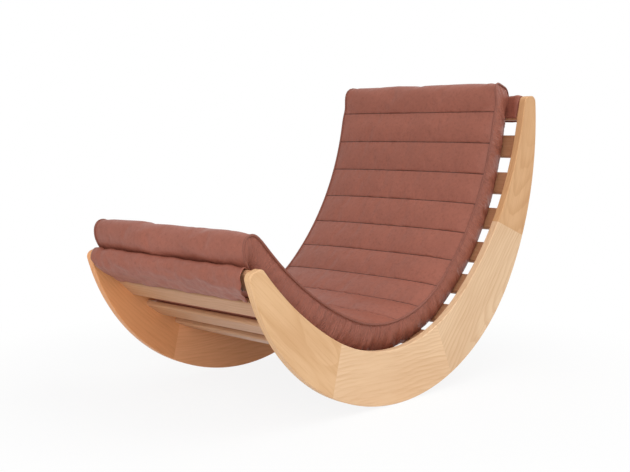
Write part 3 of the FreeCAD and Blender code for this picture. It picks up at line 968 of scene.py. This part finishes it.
    def execute(self, context):
        look = context.scene.chaise_pad
        shape = PadShape()
        pad, stations, front, below = self.build(look, shape)
        seam_rows = [int(np.argmin(np.abs(stations - seam))) for seam in shape.seams]
        held = np.zeros(len(pad.data.vertices), bool)
        held[[v for row in below for v in row]] = True
        held[[v for row in front for v in (row[0], row[-1])]] = True
        for index in seam_rows:
            held[front[index]] = True
        down = read_attribute(pad.data, "down")
        limits = np.where(down > 0.001, look.band_swell, look.swell)
        self.swell(context, pad, held, limits, look)
        self.stitch(pad, front, seam_rows, look)
        self.subdivide(context, pad)
        edges = [read_points(pad.data)[[row[side] for row in front]] for side in (0, -1)]
        self.wrinkle(pad, shape, look)
        give(pad, leather("leather_pad", tuple(look.colour)))
        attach(pad, "root")
        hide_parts("pad_cover", "foam_core")
        # The cord's leather is about a quarter darker than the pad's: painted shade along the corded
        # edge
        cord = leather("leather_cord_painted_shade", tuple(c * 0.76 for c in look.colour), worked=False)
        for line, name, side in zip(edges, ("right", "left"), (-1, 1)):
            line[:, 1] += side * look.cord_radius * 0.35
            welt = tube(name + "_welt", line, look.cord_radius)
            give(welt, cord)
            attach(welt, "root")
            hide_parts(name + "_piping")
        return {"FINISHED"}


class MakePockets(bpy.types.Operator):
    """Makes the two leather pockets that hold the pad on its end slats"""

    bl_idname = "chaise.make_pockets"
    bl_label = "Pockets"

    def leaf(self, name, profile, half_widths, look):
        """A sheet of leather: profile points in side view, each with its own half width."""
        marks = np.linspace(0.0, 1.0, len(profile))
        fine = np.linspace(0.0, 1.0, 6 * (len(profile) - 1) + 1)
        path = np.column_stack([spline(marks, [point[i] for point in profile], fine)
                                for i in (0, 1)])
        widths = spline(marks, half_widths, fine)
        rows = POCKET_CELLS
        shares = np.linspace(-1.0, 1.0, rows + 1)
        grid = np.array([[(spot[0], width * share, spot[1]) for share in shares]
                         for spot, width in zip(path, widths)])
        flat = grid.reshape(-1, 3)
        tangent = np.gradient(path, axis=0)
        tangent /= np.linalg.norm(tangent, axis=1)[:, None]
        out = np.repeat(np.column_stack((-tangent[:, 1], tangent[:, 0] * 0, tangent[:, 0])),
                        rows + 1, axis=0)
        ends = np.tile(np.abs(shares) ** 6, len(path))
        free = np.repeat(smooth(fine / 0.15), rows + 1)
        rough = wobble(flat * (1.5, 1.0, 2.5), 24.0, 11.0)
        creases = wobble(np.column_stack((flat[:, 1] * 60, flat[:, 2] * 16, flat[:, 0] * 16)),
                         1.0, 12.0)
        height = free * (rough * 0.0042 + creases * 0.0040 * (0.25 + ends))
        flat = flat + out * height[:, None]
        faces = []
        for line in range(len(path) - 1):
            for row in range(rows):
                a = line * (rows + 1) + row
                faces.append((a, a + 1, a + rows + 2, a + rows + 1))
        sheet = add_mesh(name, flat, faces)
        thick = sheet.modifiers.new("leather", "SOLIDIFY")
        thick.thickness = look.hide_thickness
        thick.offset = 0.0
        hem_line = flat.reshape(len(path), rows + 1, 3)[-1]
        hem = tube(name + "_hem", hem_line, HEM_RADIUS, 8, (1.0, 0.0, 0.0))
        length = float(np.sum(np.linalg.norm(np.diff(path, axis=0), axis=1)))
        mean = float(np.mean(widths)) * 2
        return sheet, hem, (2 * max(half_widths), length, mean * length)

    def execute(self, context):
        look = context.scene.chaise_pad
        hide = leather("leather_pocket", tuple(look.colour), worked=False)
        seat = three_arcs(SEAT_CENTRE, SEAT_RADII, SEAT_HEADINGS)
        spot, heading = seat.at(LAST_SLAT_PLACE)
        spot = spot + outward(heading) * (SLAT_RECESS + SLAT_THICKNESS / 2)
        head = [spot + along(heading) * reach + outward(heading) * depth
                for reach, depth in HEAD_POCKET]
        for name, profile, half_widths, rests in (
                ("foot", FOOT_POCKET, FOOT_POCKET_HALF_WIDTHS, "slat_01"),
                ("head", head, HEAD_POCKET_HALF_WIDTHS, "slat_14")):
            sheet, hem, (width, length, area) = self.leaf(
                name + "_pocket_leather", profile, half_widths, look)
            for piece in (sheet, hem):
                give(piece, hide)
                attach(piece, "root")
            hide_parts(name + "_pocket")
        return {"FINISHED"}


class MakeStage(bpy.types.Operator):
    """Sets the camera of the photograph, the pale floor and soft studio light"""

    bl_idname = "chaise.make_stage"
    bl_label = "Stage"

    def camera(self, context):
        """The photograph's camera, with no shift and no depth of field."""
        lens = bpy.data.cameras.new("camera")
        lens.lens = CAMERA_LENS
        lens.sensor_width = CAMERA_SENSOR
        lens.sensor_fit = "HORIZONTAL"
        lens.clip_end = 60.0
        made = bpy.data.objects.new("camera", lens)
        context.scene.collection.objects.link(made)
        turn = (Matrix.Rotation(-math.radians(CAMERA_YAW), 4, "Z")
                @ Matrix.Rotation(math.radians(90 + CAMERA_PITCH), 4, "X")
                @ Matrix.Rotation(math.radians(CAMERA_ROLL), 4, "Z"))
        made.matrix_world = Matrix.Translation(CAMERA_PLACE) @ turn
        context.scene.camera = made

    def floor(self, look):
        """Pale paper that keeps the soft shadow near the object and fades to white around it."""
        size = 12.0
        corners = [(-size, -size, 0), (size, -size, 0), (size, size, 0), (-size, size, 0)]
        made = add_mesh("floor", corners, [(0, 1, 2, 3)], smooth_faces=False)
        shader = Shader(bpy.data.materials.new("floor_paper"))
        where = shader.place()
        tint = shader.mix(shader.noise(where, 40.0), (0.88, 0.88, 0.88, 1), (0.92, 0.92, 0.92, 1))
        paper = shader.node("ShaderNodeBsdfDiffuse", None, {"Color": tint})
        glow = shader.node("ShaderNodeEmission", None, {"Color": (1, 1, 1, 1), "Strength": 1.0})
        far = shader.node("ShaderNodeVectorMath", {"operation": "LENGTH"}, {0: where}, "Value")
        share = shader.band(far, look.shadow_reach * 0.45, look.shadow_reach, look.floor_glow, 1.0)
        surface = shader.blend(shader.background_rays() * share, paper, glow)
        give(made, shader.output(surface))

    def lamp(self, context, name, power, size, place, target):
        """A soft rectangular light that looks at its target."""
        light = bpy.data.lights.new(name, "AREA")
        light.shape = "RECTANGLE"
        light.size, light.size_y = size
        light.energy = power
        made = bpy.data.objects.new(name, light)
        context.scene.collection.objects.link(made)
        made.location = place
        made.rotation_mode = "QUATERNION"
        made.rotation_quaternion = (Vector(target) - Vector(place)).to_track_quat("-Z", "Y")

    def world(self, context, look):
        """Soft light that is stronger from above and in front, and a plain white background."""
        made = bpy.data.worlds.new("room")
        context.scene.world = made
        shader = Shader(made)
        where = shader.node("ShaderNodeTexCoord", output="Generated")
        front = shader.node("ShaderNodeVectorMath", {"operation": "DOT_PRODUCT"},
                            {0: where, 1: (-0.60, -0.60, 0.53)}, "Value")
        strengths = (look.room_behind, look.room, 1.0)
        behind, ahead, white = (shader.node("ShaderNodeBackground", None, {
            "Color": (1, 1, 1, 1), "Strength": strength}) for strength in strengths)
        room = shader.blend(shader.band(front, -0.6, 0.9), behind, ahead)
        surface = shader.blend(shader.background_rays(), room, white)
        shader.output(surface, "ShaderNodeOutputWorld")

    def execute(self, context):
        look = context.scene.chaise_stage
        context.scene.view_settings.view_transform = "Standard"
        self.camera(context)
        self.floor(look)
        self.world(context, look)
        self.lamp(context, "key", look.key, (2.4, 2.0), (0.9, -1.4, 2.8), (0.0, 0.0, 0.3))
        self.lamp(context, "fill", look.fill, (1.8, 1.8), (-2.2, -1.2, 1.6), (0.0, 0.0, 0.4))
        return {"FINISHED"}


class CHAISE_PT_panel(bpy.types.Panel):
    """Lists the pieces of the chaise in the sidebar"""

    bl_label = "Rocking chaise"
    bl_idname = "CHAISE_PT_panel"
    bl_space_type = "VIEW_3D"
    bl_region_type = "UI"
    bl_category = "Chaise"

    def draw(self, context):
        for operator in OPERATORS:
            self.layout.operator(operator.bl_idname)
        for settings in (context.scene.chaise_wood, context.scene.chaise_pad,
                         context.scene.chaise_stage):
            box = self.layout.box()
            for name in settings.__annotations__:
                box.prop(settings, name)


GROUPS = {"chaise_wood": ChaiseWood, "chaise_pad": ChaisePad, "chaise_stage": ChaiseStage}
OPERATORS = (MakeSides, MakeSlats, MakePad, MakePockets, MakeStage)


def register():
    for name, group in GROUPS.items():
        bpy.utils.register_class(group)
        setattr(bpy.types.Scene, name, bpy.props.PointerProperty(type=group))
    for operator in OPERATORS:
        bpy.utils.register_class(operator)
    bpy.utils.register_class(CHAISE_PT_panel)


def unregister():
    bpy.utils.unregister_class(CHAISE_PT_panel)
    for operator in reversed(OPERATORS):
        bpy.utils.unregister_class(operator)
    for name, group in reversed(list(GROUPS.items())):
        delattr(bpy.types.Scene, name)
        bpy.utils.unregister_class(group)


def main():
    register()
    bpy.ops.chaise.make_sides()
    bpy.ops.chaise.make_slats()
    bpy.ops.chaise.make_pad()
    bpy.ops.chaise.make_pockets()
    bpy.ops.chaise.make_stage()


if __name__ == "__main__":
    main()
